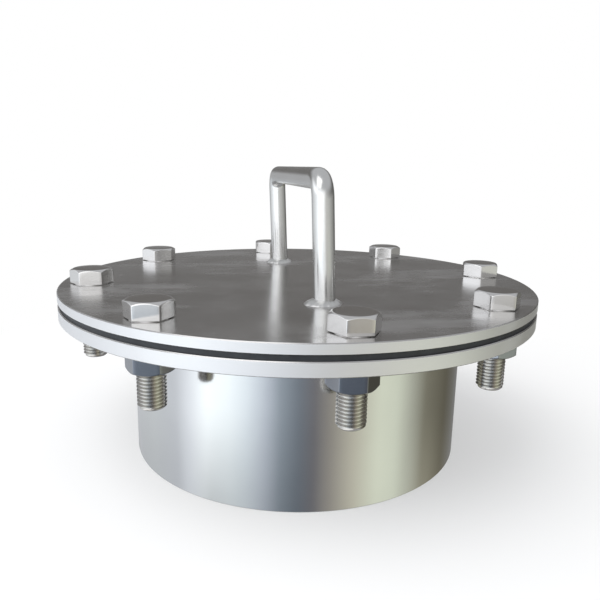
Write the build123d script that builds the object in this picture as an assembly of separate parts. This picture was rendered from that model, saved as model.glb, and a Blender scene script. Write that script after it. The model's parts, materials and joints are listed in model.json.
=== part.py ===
from build123d import *
import math
import os

os.makedirs("parts", exist_ok=True)

# Tank manway. A short neck, rolled from sheet, is welded into the tank. It carries
# a plate flange, and a flat cover plate with a bar handle closes it on a rubber
# gasket, held by hex bolts and nuts. Sizes are in millimetres and degrees. +Z is
# up, the origin is the centre of the neck's lower end, and the handle lies along Y.

# Flange ring and cover plate
plate_diameter = 320.0
rim_margin = 20.0  # from the bolts' centres to the rim of both plates
flange_thickness = 8.0
cover_thickness = 6.0
rim_break = 0.5  # chamfer on the rims

# Neck
bolt_offset = 26.0  # from the neck's outside to the bolts' centres
neck_wall = 4.0
neck_length = 100.0
neck_recess = 5.0  # how far the neck's upper end stays below the flange face
end_break = 0.4  # chamfer on the neck's lower end

# Gasket
gasket_thickness = 3.0
gasket_rim_setback = 1.5
gasket_bore_setback = 2.0

# Bolts and nuts, M16
bolt_count = 8
bolt_diameter = 16.0
bolt_length = 50.0
shank_length = 12.0  # plain part under the head
thread_pitch = 2.0
across_flats = 24.0
head_height = 10.0
washer_face_height = 0.5
washer_face_margin = 0.8  # radially, inside the flats
nut_height = 12.0
corner_circle_margin = 0.6  # radially, from the flats to where the corners' chamfer starts
corner_chamfer_angle = 30.0  # from the flat end of the head or nut
tip_chamfer = 1.5
nut_countersink = 0.5  # radially, outside the thread
hole_play = 1.0  # radially, between bolt and hole
thread_play = 0.05  # radially, between bolt and nut
head_turns = [7.0, 36.0, 26.0, 17.0, 3.0, 54.0, 58.0, 48.0]  # as the wrench left them
nut_turns = [20.0, 40.0, 5.0, 33.0, 12.0, 51.0, 46.0, 15.0]

# Handle
bar_diameter = 13.0
handle_span = 158.0  # between the legs' centres
handle_height = 78.0  # from the cover's face to the top of the bar
bend_inside_radius = 4.0
handle_lean = 2.5  # towards -X, as it was welded on

# Welds
flange_weld_leg = 5.0
face_weld_margin = 0.4  # keeps the inner bead out of the clear bore
handle_weld_leg = 4.0
bead_bulge = 0.6

# What follows from those sizes
plate_radius = plate_diameter / 2
bolt_circle_radius = plate_radius - rim_margin
neck_outer_radius = bolt_circle_radius - bolt_offset
neck_inner_radius = neck_outer_radius - neck_wall
hole_radius = bolt_diameter / 2 + hole_play

flange_top = neck_length + neck_recess
flange_bottom = flange_top - flange_thickness
gasket_top = flange_top + gasket_thickness
cover_top = gasket_top + cover_thickness

# A 60 degree thread is drawn as a plain cylinder on its pitch line, which lies
# 0.6495 of the pitch inside its outer diameter.
thread_radius = (bolt_diameter - 0.6495 * thread_pitch) / 2
corner_circle_radius = across_flats / 2 - corner_circle_margin
bend_radius = bend_inside_radius + bar_diameter / 2


def upright_cylinder(radius, height, bottom=0.0):
    cylinder = Cylinder(radius, height, align=(Align.CENTER, Align.CENTER, Align.MIN))
    return Pos(0, 0, bottom) * cylinder


def bolt_places(z=0.0):
    """One location on each bolt's axis, at height z."""
    places = []
    for number in range(bolt_count):
        angle = math.radians(360 * number / bolt_count)
        x = bolt_circle_radius * math.cos(angle)
        y = bolt_circle_radius * math.sin(angle)
        places.append(Pos(x, y, z))
    return places


def drilled(plate, bottom, thickness):
    """The plate with one hole for each bolt."""
    hole = upright_cylinder(hole_radius, thickness)
    for place in bolt_places(bottom):
        plate -= place * hole
    return plate


def rim_edges(plate):
    """The two outer edges of a round plate that has no other edge as wide."""
    circles = plate.edges().filter_by(GeomType.CIRCLE)
    return circles.group_by(SortBy.RADIUS)[-1]


def fillet_bead(corner_radius, corner_z, across, up):
    """A ring of weld in the corner at (corner_radius, corner_z). It reaches
    `across` along the radius and `up` along Z; either may be negative."""
    corner = (corner_radius, corner_z)
    flat_end = (corner_radius + across, corner_z)
    wall_end = (corner_radius, corner_z + up)
    length = math.hypot(across, up)
    middle_x = corner_radius + across / 2 + bead_bulge * up / length * math.copysign(1, across * up)
    middle_z = corner_z + up / 2 + bead_bulge * across / length * math.copysign(1, across * up)
    outline = [
        Line(corner, flat_end),
        ThreePointArc(flat_end, (middle_x, middle_z), wall_end),
        Line(wall_end, corner),
    ]
    section = Plane.XZ * make_face(outline)
    return revolve(section, Axis.Z)


def make_neck():
    neck = upright_cylinder(neck_outer_radius, neck_length)
    neck -= upright_cylinder(neck_inner_radius, neck_length)
    lower_rims = neck.edges().group_by(Axis.Z)[0]
    return chamfer(lower_rims, end_break)


def make_flange_ring():
    ring = upright_cylinder(plate_radius, flange_thickness, flange_bottom)
    ring -= upright_cylinder(neck_outer_radius, flange_thickness, flange_bottom)
    ring = chamfer(rim_edges(ring), rim_break)
    return drilled(ring, flange_bottom, flange_thickness)


def make_gasket():
    ring = upright_cylinder(plate_radius - gasket_rim_setback, gasket_thickness, flange_top)
    bore = neck_outer_radius + gasket_bore_setback
    ring -= upright_cylinder(bore, gasket_thickness, flange_top)
    return drilled(ring, flange_top, gasket_thickness)


def make_cover_plate():
    plate = upright_cylinder(plate_radius, cover_thickness, gasket_top)
    plate = chamfer(rim_edges(plate), rim_break)
    return drilled(plate, gasket_top, cover_thickness)


def make_handle():
    """One bent bar. It leans, so its feet are cut level with the cover's face."""
    leg = handle_span / 2
    reach = (handle_height - bar_diameter / 2) / math.cos(math.radians(handle_lean))
    spare = bar_diameter / 2
    feet_and_corners = [(0, -leg, -spare), (0, -leg, reach), (0, leg, reach), (0, leg, -spare)]
    path = FilletPolyline(*feet_and_corners, radius=bend_radius)
    section = Plane((0, -leg, -spare)) * Circle(bar_diameter / 2)
    bar = Rot(0, -handle_lean, 0) * sweep(section, path)
    return Pos(0, 0, cover_top) * split(bar, Plane.XY, keep=Keep.TOP)


def make_handle_weld(side, bar):
    """A bead round one leg, cut to fit it."""
    core = handle_weld_leg / 2
    outside = fillet_bead(bar_diameter / 2, 0, handle_weld_leg, handle_weld_leg)
    outside += upright_cylinder(bar_diameter / 2, core)
    return Pos(0, side * handle_span / 2, cover_top) * outside - bar


def hexagon(height):
    outline = RegularPolygon(across_flats / 2, 6, major_radius=False)
    return extrude(outline, height)


def corner_cone(height):
    """Keeps what lies inside the chamfer of a hexagon's upper corners."""
    wide = corner_circle_radius + height / math.tan(math.radians(corner_chamfer_angle))
    return Cone(wide, corner_circle_radius, height, align=(Align.CENTER, Align.CENTER, Align.MIN))


def make_bolt():
    """A bolt that hangs from z = 0, the underside of its head."""
    prism_height = head_height - washer_face_height
    prism = hexagon(prism_height) & corner_cone(prism_height)
    washer_face = upright_cylinder(across_flats / 2 - washer_face_margin, washer_face_height)
    thread_length = bolt_length - shank_length
    thread = upright_cylinder(thread_radius, thread_length, -bolt_length)
    thread = chamfer(thread.edges().group_by(Axis.Z)[0], tip_chamfer)
    shank = upright_cylinder(bolt_diameter / 2, shank_length, -shank_length)
    return Pos(0, 0, washer_face_height) * prism + washer_face + shank + thread


def make_nut():
    """A nut that hangs from z = 0, the face that it bears on."""
    from_above = corner_cone(nut_height)
    from_below = Pos(0, 0, nut_height) * Rot(180, 0, 0) * corner_cone(nut_height)
    nut = hexagon(nut_height) & from_above & from_below
    bore_radius = thread_radius + thread_play
    mouth_radius = bolt_diameter / 2 + nut_countersink
    depth = mouth_radius - bore_radius
    nut -= upright_cylinder(bore_radius, nut_height)
    low_mouth = Cone(mouth_radius, bore_radius, depth, align=(Align.CENTER, Align.CENTER, Align.MIN))
    nut -= low_mouth
    nut -= Pos(0, 0, nut_height) * Rot(180, 0, 0) * low_mouth
    return Pos(0, 0, -nut_height) * nut


def save(part, node):
    export_step(part, f"parts/{node}.step")


save(make_neck(), "neck")
save(make_flange_ring(), "flange_ring")
save(fillet_bead(neck_outer_radius, flange_bottom, flange_weld_leg, -flange_weld_leg), "neck_weld_outer")
face_weld_leg = neck_wall - face_weld_margin
save(fillet_bead(neck_outer_radius, neck_length, -face_weld_leg, face_weld_leg), "neck_weld_inner")
save(make_gasket(), "gasket")
save(make_cover_plate(), "cover_plate")
handle = make_handle()
save(handle, "handle")
save(make_handle_weld(-1, handle), "handle_weld_front")
save(make_handle_weld(1, handle), "handle_weld_rear")

bolt = make_bolt()
nut = make_nut()
for number, place in enumerate(bolt_places()):
    head_turn = Rot(0, 0, head_turns[number % len(head_turns)])
    nut_turn = Rot(0, 0, nut_turns[number % len(nut_turns)])
    save(place * Pos(0, 0, cover_top) * head_turn * bolt, f"bolt_{number + 1}")
    save(place * Pos(0, 0, flange_bottom) * nut_turn * nut, f"nut_{number + 1}")
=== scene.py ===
# The visual model of a tank manway cover. The neck, flange, gasket, cover and handle are the CAD's own nodes
# with a finish each. The bolts, nuts and welds are built here, with their threads and ripples.

import json
import math

import bmesh
import bpy
from mathutils import Matrix, Vector, noise


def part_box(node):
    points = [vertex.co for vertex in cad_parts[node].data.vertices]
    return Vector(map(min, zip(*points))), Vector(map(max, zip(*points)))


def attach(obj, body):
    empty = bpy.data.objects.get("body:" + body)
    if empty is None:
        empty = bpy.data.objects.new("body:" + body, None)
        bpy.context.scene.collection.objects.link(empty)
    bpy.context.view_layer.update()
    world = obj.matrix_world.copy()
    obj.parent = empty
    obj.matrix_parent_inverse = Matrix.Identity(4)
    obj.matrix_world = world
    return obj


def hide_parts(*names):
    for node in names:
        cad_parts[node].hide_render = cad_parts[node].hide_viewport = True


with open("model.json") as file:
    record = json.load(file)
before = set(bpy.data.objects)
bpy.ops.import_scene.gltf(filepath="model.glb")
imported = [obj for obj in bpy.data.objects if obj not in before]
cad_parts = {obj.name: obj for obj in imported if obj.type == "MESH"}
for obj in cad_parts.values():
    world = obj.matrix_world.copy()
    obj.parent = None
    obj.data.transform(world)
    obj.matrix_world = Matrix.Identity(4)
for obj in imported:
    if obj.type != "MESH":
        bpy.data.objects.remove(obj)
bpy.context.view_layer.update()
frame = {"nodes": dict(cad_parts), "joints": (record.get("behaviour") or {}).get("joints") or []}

MM = 0.001
TURN = 2 * math.pi

# Heights, radii and axes from the frame
COVER_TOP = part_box("cover_plate")[1].z
FLANGE_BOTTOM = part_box("flange_ring")[0].z
NECK_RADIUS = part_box("neck")[1].x
FOOT_WELD_LEG = 4 * MM
FOOT_WELD_LOW, FOOT_WELD_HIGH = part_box("handle_weld_front")
LEG_RADIUS = (FOOT_WELD_HIGH.x - FOOT_WELD_LOW.x) / 2 - FOOT_WELD_LEG
BOLT_AXES = {j["child"]: Vector(j["pos_m"]) for j in frame["joints"] if j["type"] == "hinge"}

# M16 bolt and nut, as in the CAD
ACROSS_FLATS = 24 * MM
HEAD_HEIGHT = 10 * MM
NUT_HEIGHT = FLANGE_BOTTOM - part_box("nut_1")[0].z
BOLT_LENGTH = COVER_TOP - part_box("bolt_1")[0].z
SHANK_LENGTH = 12 * MM
WASHER_FACE_RADIUS = 11.2 * MM
WASHER_FACE_HEIGHT = 0.5 * MM
CORNER_CIRCLE = 11.4 * MM  # where the chamfer of the corners starts
CORNER_SLOPE = math.tan(math.radians(30))

# The thread, which the CAD leaves out
THREAD_RADIUS = 8 * MM
THREAD_PITCH = 2 * MM
THREAD_DEPTH = 0.6134 * THREAD_PITCH
THREAD_ROOT = THREAD_RADIUS - THREAD_DEPTH
FLANK_SLOPE = math.tan(math.radians(30))  # half of the profile's 60 degrees
THREAD_GAP = 0.08 * MM  # radially, between bolt and nut
TIP_RADIUS = THREAD_ROOT - 0.25 * MM
NUT_MOUTH = THREAD_RADIUS + 0.5 * MM

# How hexagons are rounded and divided
CORNER_ROUNDING = 0.45 * MM
EDGE = 0.12 * MM  # the width of a rounded edge
CORNER_STEPS = 4
FLAT_STEPS = 8

# Mesh clean-up, in metres
MERGE_DISTANCE = 2e-6
SLIVER_LENGTH = 1e-7


# ---------------------------------------------------------------- pieces
# A shape is a pair of lists, of points and of faces.

def add_object(name, data):
    made = bpy.data.objects.new(name, data)
    bpy.context.scene.collection.objects.link(made)
    return made


def new_piece(name, shape, body, cad_node, sharp_angle=35):
    """A mesh piece that rides on a body and stands for a CAD node."""
    verts, faces = shape
    mesh = bpy.data.meshes.new(name)
    mesh.from_pydata(verts, [], faces)
    work = bmesh.new()
    work.from_mesh(mesh)
    bmesh.ops.remove_doubles(work, verts=work.verts, dist=MERGE_DISTANCE)
    bmesh.ops.dissolve_degenerate(work, edges=work.edges, dist=SLIVER_LENGTH)
    bmesh.ops.recalc_face_normals(work, faces=work.faces)
    work.to_mesh(mesh)
    work.free()
    mesh.shade_smooth()
    mesh.set_sharp_from_angle(angle=math.radians(sharp_angle))
    piece = add_object(name, mesh)
    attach(piece, body)
    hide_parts(cad_node)
    return piece


def joined(*shapes):
    """One shape from several, in their order."""
    verts = []
    faces = []
    for more_verts, more_faces in shapes:
        start = len(verts)
        verts.extend(Vector(v) for v in more_verts)
        faces.extend(tuple(start + i for i in face) for face in more_faces)
    return verts, faces


class Rings:
    """Builds a surface from rings that all have the same count of points."""

    def __init__(self, count):
        self.count = count
        self.verts = []
        self.faces = []
        self.last = None

    def ring(self, points):
        start = len(self.verts)
        self.verts.extend(points)
        if self.last is not None:
            for i in range(self.count):
                k = (i + 1) % self.count
                self.faces.append((self.last + i, self.last + k, start + k, start + i))
        self.last = start

    def cap(self, centre):
        """Closes the surface at the last ring with a fan."""
        middle = len(self.verts)
        self.verts.append(centre)
        for i in range(self.count):
            self.faces.append((self.last + i, self.last + (i + 1) % self.count, middle))

    def shape(self):
        return self.verts, self.faces


# ---------------------------------------------------------------- bolts and nuts

def hexagon_points(across_flats, rounding):
    """The outline of a hexagon with rounded corners. The first corner points along X."""
    reach = (across_flats / 2 - rounding) / math.cos(math.pi / 6)

    def corner_point(corner, step):
        middle = corner * math.pi / 3
        turn = middle + (step / CORNER_STEPS - 0.5) * math.pi / 3
        x = reach * math.cos(middle) + rounding * math.cos(turn)
        y = reach * math.sin(middle) + rounding * math.sin(turn)
        return x, y

    points = []
    for corner in range(6):
        points.extend(corner_point(corner, step) for step in range(CORNER_STEPS + 1))
        x, y = corner_point(corner, CORNER_STEPS)
        next_x, next_y = corner_point(corner + 1, 0)
        for step in range(1, FLAT_STEPS):
            share = step / FLAT_STEPS
            points.append((x + (next_x - x) * share, y + (next_y - y) * share))
    return points


def outline_angles():
    """The direction of each point of the outline, rising from the first."""
    angles = []
    for x, y in hexagon_points(ACROSS_FLATS, CORNER_ROUNDING):
        angle = math.atan2(y, x)
        if angles and angle < angles[-1]:
            angle += TURN
        angles.append(angle)
    return angles


ANGLES = outline_angles()
COUNT = len(ANGLES)


def circle(radius, z):
    """A round ring with as many points as a hexagonal one."""
    return [(radius * math.cos(a), radius * math.sin(a), z) for a in ANGLES]


def corner_drop(radius):
    """How far the corners' chamfer lies below the flat face at this radius."""
    return max(0.0, radius - CORNER_CIRCLE) * CORNER_SLOPE


def hexagon_ring(inset, height):
    """A hexagonal ring. height is a number, or a function of the radius at each point."""
    points = hexagon_points(ACROSS_FLATS - 2 * inset, CORNER_ROUNDING)
    level = height if callable(height) else lambda radius: height
    return [(x, y, level(math.hypot(x, y))) for x, y in points]


def thread_shape(low, high, root, crest, limit):
    """A right-hand thread from low to high, with one column of points for each of ANGLES.

    root and crest are the radii of its profile. limit(z, radius) gives the radius that is kept at a height,
    for run-outs and chamfers. Heights are clamped to the ends, where the points fall together into rings."""
    flank = (crest - root) * FLANK_SLOPE
    crest_flat = THREAD_PITCH / 8
    root_flat = THREAD_PITCH - crest_flat - 2 * flank
    profile = [
        (0.0, root),
        (root_flat, root),
        (root_flat + flank, crest),
        (root_flat + flank + crest_flat, crest),
    ]
    turns = math.ceil((high - low) / THREAD_PITCH) + 2
    verts = []
    for row in range(turns + 1):
        for angle in ANGLES:
            for rise, radius in profile:
                z = low + THREAD_PITCH * (row - 1 + angle / TURN) + rise
                z = min(max(z, low), high)
                kept = limit(z, radius)
                verts.append((kept * math.cos(angle), kept * math.sin(angle), z))
    faces = []
    width = len(profile)
    for column in range(turns * COUNT):
        for step in range(width):
            top_step = step + 1 == width
            here = column * width + step
            above = (column + COUNT) * width if top_step else here + 1
            beside = here + width
            corner = (column + COUNT + 1) * width if top_step else beside + 1
            if max(corner, beside, above) < len(verts):
                faces.append((here, beside, corner, above))
    return verts, faces


def head_shape():
    """A bolt's head, which stands on z = 0 and is open only where its shank leaves it."""
    head = Rings(COUNT)
    head.ring(circle(THREAD_RADIUS, 0))
    head.ring(circle(WASHER_FACE_RADIUS, 0))
    head.ring(circle(WASHER_FACE_RADIUS, WASHER_FACE_HEIGHT))
    head.ring(hexagon_ring(EDGE, WASHER_FACE_HEIGHT))
    # Two rings close together at each end of the flats keep them flat under smooth shading.
    for rise in (1, 2):
        head.ring(hexagon_ring(0, WASHER_FACE_HEIGHT + rise * EDGE))
    for inset, drop in ((0, 4), (0, 2), (0.4, 1), (2, 0)):
        head.ring(hexagon_ring(inset * EDGE, lambda r: HEAD_HEIGHT - corner_drop(r) - drop * EDGE))
    slope_end = CORNER_CIRCLE + 2 * EDGE
    head.ring(circle(slope_end, HEAD_HEIGHT - corner_drop(slope_end)))
    head.ring(circle(CORNER_CIRCLE - EDGE, HEAD_HEIGHT - 0.2 * EDGE))
    head.ring(circle(CORNER_CIRCLE - 4 * EDGE, HEAD_HEIGHT))
    head.ring(circle(CORNER_CIRCLE / 2, HEAD_HEIGHT))
    head.cap((0, 0, HEAD_HEIGHT))
    return head.shape()


def shank_shape():
    """A bolt's shank, which hangs from z = 0. Its thread runs out upwards and ends in a chamfered tip."""
    plain = Rings(COUNT)
    plain.ring(circle(THREAD_RADIUS, -SHANK_LENGTH))
    plain.ring(circle(THREAD_RADIUS, 0))

    def limit(z, radius):
        run_out = max(0.0, min(1.0, (-SHANK_LENGTH - z) / THREAD_PITCH))
        radius = THREAD_RADIUS + (radius - THREAD_RADIUS) * run_out
        return min(radius, TIP_RADIUS + (z + BOLT_LENGTH))

    thread = thread_shape(-BOLT_LENGTH, -SHANK_LENGTH, THREAD_ROOT, THREAD_RADIUS, limit)
    tip = Rings(COUNT)
    tip.ring(circle(TIP_RADIUS, -BOLT_LENGTH))
    tip.cap((0, 0, -BOLT_LENGTH))
    return joined(plain.shape(), thread, tip.shape())


def nut_outside():
    """A nut that hangs from z = 0, without its thread."""
    nut = Rings(COUNT)
    nut.ring(circle(NUT_MOUTH, -NUT_HEIGHT))
    nut.ring(circle(CORNER_CIRCLE - EDGE, -NUT_HEIGHT))
    for inset, rise in ((2, 0), (0, 2), (0, 4)):
        nut.ring(hexagon_ring(inset * EDGE, lambda r: -NUT_HEIGHT + corner_drop(r) + rise * EDGE))
    for inset, drop in ((0, 4), (0, 2), (2, 0)):
        nut.ring(hexagon_ring(inset * EDGE, lambda r: -corner_drop(r) - drop * EDGE))
    nut.ring(circle(CORNER_CIRCLE - EDGE, 0))
    nut.ring(circle(NUT_MOUTH, 0))
    return nut.shape()


def nut_bore():
    """The thread inside that nut, countersunk at both ends."""

    def limit(z, radius):
        return max(radius, NUT_MOUTH - min(-z, z + NUT_HEIGHT))

    return thread_shape(-NUT_HEIGHT, 0, THREAD_ROOT + THREAD_GAP, THREAD_RADIUS + THREAD_GAP, limit)


def put(shape, axis, z, turn):
    """Moves a shape from its own frame to its place. turn is where its first corner points."""
    verts, faces = shape
    spin = Matrix.Rotation(turn, 3, "Z")
    return [spin @ Vector(v) + Vector((axis.x, axis.y, z)) for v in verts], faces


def corner_turn(cad_node, axis):
    """The direction of one corner of a CAD hexagon, seen from its axis."""
    corner = max(frame["nodes"][cad_node].data.vertices, key=lambda v: (v.co.xy - axis.xy).length)
    return math.atan2(corner.co.y - axis.y, corner.co.x - axis.x)


def paint_thread(bolt, metal):
    """The rolled thread is rougher than the head and the shank. Its darker colour is partly that duller
    finish and partly painted shade, for the shade in the thread's valleys.
    """
    bolt.data.materials.append(metal)
    thread_top = COVER_TOP - SHANK_LENGTH
    for face in bolt.data.polygons:
        if face.center.z < thread_top:
            face.material_index = 1


def make_fasteners(bolt_metal, thread_metal_dull_and_shaded, nut_metal_painted_shade):
    """Heads and nuts are turned as in the CAD. All threads have one phase, so each nut fits its bolt."""
    head = head_shape()
    shank = shank_shape()
    outside = nut_outside()
    bore = nut_bore()
    for bolt_name, axis in BOLT_AXES.items():
        number = bolt_name.split("_")[1]
        turned = put(head, axis, COVER_TOP, corner_turn(bolt_name, axis))
        shape = joined(turned, put(shank, axis, COVER_TOP, 0))
        bolt = new_piece(f"hex_bolt_{number}", shape, bolt_name, bolt_name)
        bolt.data.materials.append(bolt_metal)
        paint_thread(bolt, thread_metal_dull_and_shaded)

        nut_name = f"nut_{number}"
        turned = put(outside, axis, FLANGE_BOTTOM, corner_turn(nut_name, axis))
        shape = joined(turned, put(bore, axis, FLANGE_BOTTOM, 0))
        nut = new_piece(f"hex_nut_{number}", shape, nut_name, nut_name)
        # The nuts' much darker steel is painted shade, from the flange above them.
        nut.data.materials.append(nut_metal_painted_shade)


# ---------------------------------------------------------------- welds

BEAD_STEPS = 8
BEAD_POWER = 1.5  # 1 makes the bead's outside a quarter of an ellipse, and 2 makes it flat
RIPPLE_STEPS = 4
SLOW_LUMPS = 2.2  # noise scales, for a bead of any radius
QUICK_LUMPS = 6
HEIGHT_LUMPS = 4


def bead_section(across, up, sink):
    """A weld's outline in its corner: from the plate up to the wall, and back inside the wall."""
    points = []
    for step in range(BEAD_STEPS + 1):
        turn = step / BEAD_STEPS * math.pi / 2
        points.append((across * math.cos(turn) ** BEAD_POWER, up * math.sin(turn) ** BEAD_POWER))
    points.append((-sink, up))
    points.append((-sink, 0))
    return points


def bead_shape(centre, radius, across, up, ripples, rough, seed, sink=0.0, swell=None):
    """A rippled ring of weld round a vertical axis.

    across and up are its legs, as in the CAD. rough is the share by which they vary. sink is how far the
    back goes into the wall. swell(turn) makes the bead fatter in places."""
    count = ripples * RIPPLE_STEPS
    verts = []
    faces = []
    for i in range(count):
        turn = TURN * i / count
        way = Vector((math.cos(turn), math.sin(turn), 0))
        scallop = math.sin(math.pi * (i % RIPPLE_STEPS + 0.5) / RIPPLE_STEPS) - 0.7
        slow_lump = noise.noise(way * SLOW_LUMPS + Vector((seed, 0, 0)))
        quick_lump = noise.noise(way * QUICK_LUMPS + Vector((0, seed, 0)))
        height_lump = noise.noise(way * HEIGHT_LUMPS + Vector((0, 0, seed)))
        lump = slow_lump + 0.5 * quick_lump
        fat = 1 + rough * (lump + 0.35 * scallop)
        if swell is not None:
            fat *= swell(turn)
        tall = 1 + rough * (lump + 0.5 * height_lump)
        section = bead_section(across * fat, up * tall, sink)
        for x, z in section:
            verts.append(Vector(centre) + way * (radius + x) + Vector((0, 0, z)))
        here = i * len(section)
        there = (i + 1) % count * len(section)
        for j in range(len(section)):
            k = (j + 1) % len(section)
            faces.append((here + j, there + j, there + k, here + k))
    return verts, faces


def make_weld(name, shape, body, cad_node, metal):
    bead = new_piece(name, shape, body, cad_node, sharp_angle=60)
    bead.data.materials.append(metal)


def make_flange_welds(metal):
    """One bead under the flange, outside the neck, and one on the neck's upper end, inside the flange."""
    low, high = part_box("neck_weld_outer")
    across = high.x - NECK_RADIUS
    up = low.z - high.z
    shape = bead_shape((0, 0, high.z), NECK_RADIUS, across, up, ripples=190, rough=0.14, seed=3)
    make_weld("flange_weld_below", shape, "nozzle", "neck_weld_outer", metal)

    low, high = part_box("neck_weld_inner")
    leg = high.z - low.z
    shape = bead_shape((0, 0, low.z), NECK_RADIUS, -leg, leg * 0.9, ripples=200, rough=0.10, seed=8)
    make_weld("flange_weld_above", shape, "nozzle", "neck_weld_inner", metal)


def make_foot_weld(name, cad_node, left_swell, metal):
    """The bead round one foot of the handle, which reaches less far up than out.

    It is fatter by left_swell towards -X, where the handle leans."""
    low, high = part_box(cad_node)
    leg = high.z - low.z
    middle = (low + high) / 2

    def swell(turn):
        return 0.95 + left_swell * max(0.0, -math.cos(turn - 0.25)) ** 2

    shape = bead_shape((middle.x, middle.y, low.z), LEG_RADIUS, leg, leg * 0.65, ripples=19, rough=0.18,
                       seed=5 + left_swell, sink=1.0 * MM, swell=swell)
    make_weld(name, shape, "cover", cad_node, metal)


# ---------------------------------------------------------------- materials

# A mix node's sockets for colours
MIX_FACTOR = 0
MIX_FIRST = 6
MIX_SECOND = 7
MIX_RESULT = 2


def nodes_of(material):
    material.use_nodes = True
    tree = material.node_tree
    return tree, tree.nodes["Principled BSDF"]


def link(tree, source, target):
    tree.links.new(source, target)


def node(tree, kind, **settings):
    made = tree.nodes.new(kind)
    for key, value in settings.items():
        setattr(made, key, value)
    return made


def feed(tree, socket, value):
    """Gives a socket a number, a colour or another node's output."""
    if isinstance(value, (int, float)):
        socket.default_value = value
    elif isinstance(value, tuple):
        socket.default_value = (*value, 1)
    else:
        link(tree, value, socket)


def scaled_position(tree, scale):
    """Object-space position in millimetres, times a scale for each axis."""
    place = node(tree, "ShaderNodeTexCoord")
    mapping = node(tree, "ShaderNodeMapping")
    mapping.inputs["Scale"].default_value = [s / MM for s in scale]
    link(tree, place.outputs["Object"], mapping.inputs["Vector"])
    return mapping.outputs["Vector"]


def noise_texture(tree, scale, size, detail, roughness=0.5):
    """Noise with features of about this size in millimetres. A low scale stretches them along its axis."""
    texture = node(tree, "ShaderNodeTexNoise")
    texture.inputs["Scale"].default_value = 1 / size
    texture.inputs["Detail"].default_value = detail
    texture.inputs["Roughness"].default_value = roughness
    link(tree, scaled_position(tree, scale), texture.inputs["Vector"])
    return texture.outputs["Fac"]


def ramp(tree, value, stops):
    """A colour ramp. Each stop is a position and a tone, which is a number or a colour."""
    made = node(tree, "ShaderNodeValToRGB")
    elements = made.color_ramp.elements
    while len(elements) < len(stops):
        elements.new(0.5)
    for element, (place, tone) in zip(elements, stops):
        element.position = place
        element.color = (*tone, 1) if isinstance(tone, tuple) else (tone, tone, tone, 1)
    link(tree, value, made.inputs["Fac"])
    return made.outputs["Color"]


def maths(tree, operation, *values):
    made = node(tree, "ShaderNodeMath", operation=operation)
    for socket, value in zip(made.inputs, values):
        feed(tree, socket, value)
    return made.outputs["Value"]


def mixed(tree, factor, first, second, blend_type="MIX"):
    made = node(tree, "ShaderNodeMix", data_type="RGBA", blend_type=blend_type)
    feed(tree, made.inputs[MIX_FACTOR], factor)
    feed(tree, made.inputs[MIX_FIRST], first)
    feed(tree, made.inputs[MIX_SECOND], second)
    return made.outputs[MIX_RESULT]


def mixed_shaders(tree, factor, first, second):
    made = node(tree, "ShaderNodeMixShader")
    for socket, source in zip(made.inputs, (factor, first, second)):
        link(tree, source, socket)
    return made.outputs["Shader"]


def bump(tree, shader, height, strength, distance_mm, previous=None):
    """Adds a bump to a shader, on top of the previous one. Returns the bent normal."""
    made = node(tree, "ShaderNodeBump")
    made.inputs["Strength"].default_value = strength
    made.inputs["Distance"].default_value = distance_mm * MM
    link(tree, height, made.inputs["Height"])
    if previous is not None:
        link(tree, previous, made.inputs["Normal"])
    link(tree, made.outputs["Normal"], shader.inputs["Normal"])
    return made.outputs["Normal"]


def change(tree, value, span):
    """Turns noise from 0 to 1 into a change by up to half of span, up or down."""
    return maths(tree, "MULTIPLY", maths(tree, "SUBTRACT", value, 0.5), span)


def wiped_patches(tree):
    """1 in the hazy patches that wiping leaves, and 0 between them."""
    patch = noise_texture(tree, (0.4, 1, 1), size=42, detail=5, roughness=0.6)
    return ramp(tree, patch, [(0.50, 0.0), (0.68, 1.0)])


def upright_faces(tree):
    """1 on a plate's cut edges, and 0 on its flat faces."""
    place = node(tree, "ShaderNodeTexCoord")
    parts = node(tree, "ShaderNodeSeparateXYZ")
    link(tree, place.outputs["Normal"], parts.inputs["Vector"])
    return maths(tree, "LESS_THAN", maths(tree, "ABSOLUTE", parts.outputs["Z"]), 0.5)


CLOUD_SIZE = 38  # mm
GRAIN_ROUGHNESS = 0.08
GRAIN_HEIGHT = 0.02  # mm


def steel(name, colour, rough, spread, grain, grain_depth, stain=0.12, wave=0.0, rim=None, smear=0.0):
    """A stainless finish.

    rough is its roughness. Slow clouds change that by spread, and darken the colour by up to stain. grain is
    the scale of the rolling or polishing lines along each axis, and grain_depth the strength of their bump.
    wave is the depth in mm of the slow unevenness of rolled sheet. rim is the colour and roughness of a
    plate's cut edges, which are duller than its faces. smear is how much rougher the wiped patches are."""
    material = bpy.data.materials.new(name)
    tree, shader = nodes_of(material)
    shader.inputs["Metallic"].default_value = 1.0
    cloud = noise_texture(tree, (1, 1, 1), size=CLOUD_SIZE, detail=4)
    lines = noise_texture(tree, grain, size=1.0, detail=2)
    dark = tuple(c * (1 - stain) for c in colour)
    tone = mixed(tree, cloud, dark, colour)
    fine = change(tree, lines, GRAIN_ROUGHNESS)
    slow = change(tree, cloud, spread)
    roughness = maths(tree, "ADD", maths(tree, "ADD", fine, slow), rough)
    if smear:
        haze = maths(tree, "MULTIPLY", wiped_patches(tree), smear)
        roughness = maths(tree, "ADD", roughness, haze)
    if rim is not None:
        rim_colour, rim_roughness = rim
        edge = upright_faces(tree)
        tone = mixed(tree, edge, tone, rim_colour)
        roughness = maths(tree, "ADD", roughness, maths(tree, "MULTIPLY", edge, rim_roughness - rough))
    link(tree, tone, shader.inputs["Base Color"])
    link(tree, roughness, shader.inputs["Roughness"])
    grained = bump(tree, shader, lines, strength=grain_depth, distance_mm=GRAIN_HEIGHT)
    if wave:
        waves = noise_texture(tree, (1, 1, 0.4), size=30, detail=2.5)
        bump(tree, shader, waves, strength=1.0, distance_mm=wave, previous=grained)
    return material


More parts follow.
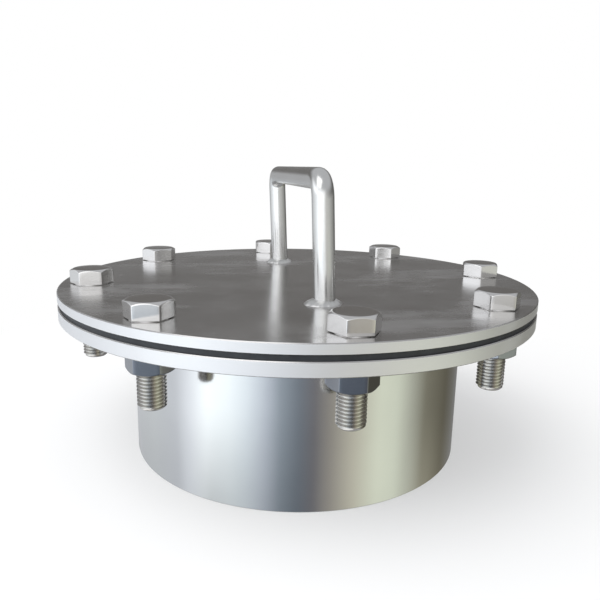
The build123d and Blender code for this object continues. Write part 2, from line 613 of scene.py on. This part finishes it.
def rubber(name):
    """Black sheet rubber, faintly mottled, with a fine matt texture."""
    material = bpy.data.materials.new(name)
    tree, shader = nodes_of(material)
    mottle = noise_texture(tree, (1, 1, 1), size=6, detail=5)
    tone = ramp(tree, mottle, [(0.3, (0.012, 0.014, 0.018)), (0.8, (0.028, 0.032, 0.038))])
    roughness = maths(tree, "ADD", maths(tree, "MULTIPLY", mottle, 0.2), 0.32)
    link(tree, tone, shader.inputs["Base Color"])
    link(tree, roughness, shader.inputs["Roughness"])
    pores = noise_texture(tree, (1, 1, 1), size=0.5, detail=3)
    bump(tree, shader, pores, strength=0.3, distance_mm=0.05)
    return material


def dress(cad_node, material):
    """Gives a CAD node its finish."""
    mesh = frame["nodes"][cad_node].data
    mesh.materials.clear()
    mesh.materials.append(material)


# ---------------------------------------------------------------- studio

# The view looks along +Y, turned about Z, and down on the centre of the cover's top. The camera is then
# turned a little about its own axes.
VIEW_TURN = math.radians(-11.5)
VIEW_ELEVATION = math.radians(10.49)
VIEW_DISTANCE = 426.6 * MM
VIEW_YAW = math.radians(-0.209)
VIEW_PITCH = math.radians(-2.037)
VIEW_ROLL = math.radians(1.07)
LENS = 35.885


def make_camera():
    camera = add_object("camera", bpy.data.cameras.new("camera"))
    camera.data.lens = LENS
    camera.data.sensor_width = 36
    camera.data.clip_start = 0.01
    view = Matrix.Rotation(VIEW_TURN, 4, "Z") @ Matrix.Rotation(math.pi / 2 - VIEW_ELEVATION, 4, "X")
    place = Vector((0, 0, COVER_TOP)) + view @ Vector((0, 0, VIEW_DISTANCE))
    yaw = Matrix.Rotation(VIEW_YAW, 4, "Y")
    pitch = Matrix.Rotation(VIEW_PITCH, 4, "X")
    roll = Matrix.Rotation(VIEW_ROLL, 4, "Z")
    camera.matrix_world = Matrix.Translation(place) @ view @ yaw @ pitch @ roll
    bpy.context.scene.camera = camera


def make_light(name, azimuth, elevation, distance, size, power, mirrored=False):
    """An area light that faces the object, at an azimuth as in the tables below.

    Metal shows it only if it is mirrored, because the world already stands for what metal mirrors."""
    data = bpy.data.lights.new(name, "AREA")
    data.shape = "RECTANGLE"
    data.size, data.size_y = size
    data.energy = power
    light = add_object(name, data)
    turn = VIEW_TURN + math.radians(azimuth)
    rise = math.radians(elevation)
    level_share = math.cos(rise)
    way = Vector((math.sin(turn) * level_share, -math.cos(turn) * level_share, math.sin(rise)))
    light.location = way * distance + Vector((0, 0, COVER_TOP))
    light.rotation_euler = way.to_track_quat("Z", "Y").to_euler()
    light.visible_glossy = mirrored


# What the metal mirrors, as azimuths and tones. Azimuth 0 is the side that the photograph was taken from, 90
# is to the right of that view, and -90 to its left.
# Below eye level: the ground, bright at the front left, with a dark place in the middle.
BELOW = [
    (-180, (0.30, 0.31, 0.33)),
    (-150, (0.62, 0.64, 0.67)),
    (-115, (0.80, 0.84, 0.87)),
    (-88, (0.84, 0.88, 0.94)),
    (-76, (1.18, 1.24, 1.32)),
    (-62, (1.65, 1.75, 1.80)),
    (-45, (1.50, 1.62, 1.68)),
    (-33, (1.22, 1.34, 1.43)),
    (-20, (0.80, 0.88, 0.99)),
    (-10, (0.42, 0.49, 0.56)),
    (2, (0.25, 0.29, 0.34)),
    (12, (0.22, 0.22, 0.24)),
    (24, (0.40, 0.38, 0.34)),
    (40, (0.70, 0.68, 0.56)),
    (58, (0.95, 1.00, 0.82)),
    (72, (0.88, 0.93, 0.77)),
    (84, (0.58, 0.60, 0.50)),
    (98, (0.27, 0.26, 0.20)),
    (125, (0.15, 0.14, 0.105)),
    (180, (0.30, 0.31, 0.33)),
]
# How much darker or brighter that ground is close by.
NEAR_GROUND = [
    (-180, 0.8),
    (-80, 0.75),
    (-60, 0.45),
    (-35, 0.55),
    (0, 0.68),
    (20, 1.0),
    (80, 1.0),
    (105, 1.7),
    (180, 1.0),
]
# At eye level: brightest in front.
LEVEL = [
    (-180, (0.36, 0.36, 0.36)),
    (-135, (0.50, 0.51, 0.53)),
    (-105, (0.82, 0.85, 0.88)),
    (-70, (1.05, 1.08, 1.12)),
    (-45, (1.50, 1.54, 1.60)),
    (-20, (1.85, 1.89, 1.94)),
    (8, (1.45, 1.47, 1.47)),
    (24, (0.70, 0.70, 0.69)),
    (45, (0.62, 0.62, 0.61)),
    (80, (0.45, 0.45, 0.44)),
    (110, (0.30, 0.30, 0.29)),
    (130, (0.12, 0.12, 0.11)),
    (150, (0.16, 0.16, 0.16)),
    (180, (0.36, 0.36, 0.36)),
]
# Above eye level: dim at the back and on the right, bright in front and on the left.
ABOVE = [
    (-180, (0.155, 0.148, 0.142)),
    (-150, (0.155, 0.15, 0.145)),
    (-128, (0.25, 0.25, 0.25)),
    (-108, (1.20, 1.23, 1.28)),
    (-75, (1.62, 1.67, 1.75)),
    (-45, (1.42, 1.45, 1.50)),
    (-10, (1.45, 1.48, 1.52)),
    (12, (1.20, 1.21, 1.22)),
    (30, (0.60, 0.60, 0.60)),
    (70, (0.30, 0.30, 0.29)),
    (110, (0.14, 0.137, 0.133)),
    (180, (0.155, 0.148, 0.142)),
]
CEILING = (0.53, 0.54, 0.56)
# Where one of these passes into the next, as sines of the elevation
CLOSE_BY_ENDS = (-0.52, -0.38)
LEVEL_STARTS = (-0.26, -0.12)
ABOVE_STARTS = (0.08, 0.14)
CEILING_STARTS = (0.3, 0.55)
# What matt surfaces and the camera see instead
DIFFUSE_LIGHT = (0.80, 0.81, 0.83)
WHITE = (1.0, 1.0, 1.0)


def surroundings(tree):
    """The colour that metal mirrors in each direction."""
    place = node(tree, "ShaderNodeTexCoord")
    turn = node(tree, "ShaderNodeMapping", vector_type="POINT")
    turn.inputs["Rotation"].default_value = (0, 0, -VIEW_TURN)
    link(tree, place.outputs["Generated"], turn.inputs["Vector"])
    parts = node(tree, "ShaderNodeSeparateXYZ")
    link(tree, turn.outputs["Vector"], parts.inputs["Vector"])
    towards_view = maths(tree, "MULTIPLY", parts.outputs["Y"], -1.0)
    azimuth = maths(tree, "ARCTAN2", parts.outputs["X"], towards_view)
    share = maths(tree, "ADD", maths(tree, "DIVIDE", azimuth, TURN), 0.5)
    height = maths(tree, "ADD", maths(tree, "MULTIPLY", parts.outputs["Z"], 0.5), 0.5)

    def around(stops):
        return ramp(tree, share, [((a + 180) / 360, tone) for a, tone in stops])

    def between(low, high):
        """0 below the height low, and 1 above the height high."""
        return ramp(tree, height, [(low / 2 + 0.5, 0.0), (high / 2 + 0.5, 1.0)])

    close_by = maths(tree, "SUBTRACT", 1.0, between(*CLOSE_BY_ENDS))
    tone = mixed(tree, close_by, around(BELOW), around(NEAR_GROUND), blend_type="MULTIPLY")
    tone = mixed(tree, between(*LEVEL_STARTS), tone, around(LEVEL))
    tone = mixed(tree, between(*ABOVE_STARTS), tone, around(ABOVE))
    return mixed(tree, between(*CEILING_STARTS), tone, CEILING)


def background(tree, colour):
    made = node(tree, "ShaderNodeBackground")
    feed(tree, made.inputs["Color"], colour)
    return made.outputs["Background"]


def make_world():
    """White for the camera, soft grey for matt surfaces, and a workshop's tones for what is mirrored."""
    world = bpy.data.worlds.new("studio")
    bpy.context.scene.world = world
    world.use_nodes = True
    tree = world.node_tree
    tree.nodes.clear()
    path = node(tree, "ShaderNodeLightPath")
    soft = background(tree, DIFFUSE_LIGHT)
    mirrored = background(tree, surroundings(tree))
    lit = mixed_shaders(tree, path.outputs["Is Glossy Ray"], soft, mirrored)
    seen = mixed_shaders(tree, path.outputs["Is Camera Ray"], lit, background(tree, WHITE))
    output = node(tree, "ShaderNodeOutputWorld")
    link(tree, seen, output.inputs["Surface"])


FLOOR_REACH = 6.0
FLOOR_DROP = 0.2 * MM
FLOOR_CORNERS = [(-1, -1), (1, -1), (1, 1), (-1, 1)]
FADE_START = 0.16  # metres from the object's axis
FADE_END = 0.42
NEAR_VEIL = 0.3  # the share of white over the shadow itself


def floor_finish():
    """Pale grey under a white veil that hides it away from the object. It is clear from below."""
    material = bpy.data.materials.new("floor")
    tree, shader = nodes_of(material)
    shader.inputs["Base Color"].default_value = (0.86, 0.86, 0.86, 1)
    shader.inputs["Roughness"].default_value = 0.9
    shader.inputs["Specular IOR Level"].default_value = 0.0
    place = node(tree, "ShaderNodeTexCoord")
    length = node(tree, "ShaderNodeVectorMath", operation="LENGTH")
    link(tree, place.outputs["Object"], length.inputs[0])
    far = ramp(tree, length.outputs["Value"], [(FADE_START, 0.0), (FADE_END, 1.0)])
    veil = maths(tree, "ADD", maths(tree, "MULTIPLY", far, 1 - NEAR_VEIL), NEAR_VEIL)
    path = node(tree, "ShaderNodeLightPath")
    seen_veil = maths(tree, "MULTIPLY", veil, path.outputs["Is Camera Ray"])
    white = node(tree, "ShaderNodeEmission")
    veiled = mixed_shaders(tree, seen_veil, shader.outputs["BSDF"], white.outputs["Emission"])
    side = node(tree, "ShaderNodeNewGeometry")
    clear = node(tree, "ShaderNodeBsdfTransparent")
    both = mixed_shaders(tree, side.outputs["Backfacing"], veiled, clear.outputs["BSDF"])
    link(tree, both, tree.nodes["Material Output"].inputs["Surface"])
    return material


def make_floor():
    """A pale floor that keeps the shadow near the object and fades to white round it."""
    mesh = bpy.data.meshes.new("floor")
    corners = [(x * FLOOR_REACH, y * FLOOR_REACH, 0) for x, y in FLOOR_CORNERS]
    mesh.from_pydata(corners, [], [(0, 1, 2, 3)])
    mesh.materials.append(floor_finish())
    floor = add_object("floor", mesh)
    floor.location.z = -FLOOR_DROP
    floor.visible_glossy = False


# ---------------------------------------------------------------- the scene

plate_steel = steel("plate_steel", (0.68, 0.67, 0.66), rough=0.22, spread=0.16, grain=(0.02, 1.4, 1.4),
                    grain_depth=0.12, stain=0.16, rim=((0.84, 0.84, 0.85), 0.5), smear=0.14)
neck_steel = steel("neck_steel", (0.68, 0.68, 0.68), rough=0.13, spread=0.07, grain=(0.05, 0.05, 1.6),
                   grain_depth=0.05, wave=0.07)
bar_steel = steel("bar_steel", (0.80, 0.80, 0.79), rough=0.23, spread=0.06, grain=(0.5, 0.5, 0.5),
                  grain_depth=0.015)
fastener_steel = steel("fastener_steel", (0.82, 0.81, 0.80), rough=0.13, spread=0.08, grain=(0.6, 0.6, 0.6),
                       grain_depth=0.04)
# The thread's roughness is the rolled finish. Its darker colour is partly that finish and partly painted
# shade of the thread's valleys.
thread_steel_dull_and_shaded = steel("thread_steel_dull_and_shaded", (0.60, 0.58, 0.55), rough=0.22, spread=0.10, grain=(0.6, 0.6, 0.6),
                     grain_depth=0.04)
# The nuts are the same stainless as the bolts. Their much darker colour is painted shade, for the shade
# under the flange.
nut_steel_painted_shade = steel("nut_steel_painted_shade", (0.29, 0.30, 0.33), rough=0.15, spread=0.08, grain=(0.6, 0.6, 0.6),
                  grain_depth=0.04)
weld_steel = steel("weld_steel", (0.76, 0.76, 0.75), rough=0.38, spread=0.12, grain=(0.8, 0.8, 0.8),
                   grain_depth=0.1)

dress("cover_plate", plate_steel)
dress("flange_ring", plate_steel)
dress("neck", neck_steel)
dress("handle", bar_steel)
dress("gasket", rubber("sheet_rubber"))
make_flange_welds(weld_steel)
make_foot_weld("foot_weld_front", "handle_weld_front", 0.5, weld_steel)
make_foot_weld("foot_weld_rear", "handle_weld_rear", 0.2, weld_steel)
make_fasteners(fastener_steel, thread_steel_dull_and_shaded, nut_steel_painted_shade)

make_camera()
make_world()
make_floor()
make_light("key", azimuth=-55, elevation=48, distance=1.1, size=(1.2, 1.2), power=8)
make_light("fill", azimuth=70, elevation=35, distance=1.3, size=(1.0, 1.4), power=2)
make_light("glint", azimuth=-42, elevation=52, distance=1.1, size=(0.8, 0.8), power=2.2, mirrored=True)
bpy.context.scene.view_settings.view_transform = "Standard"
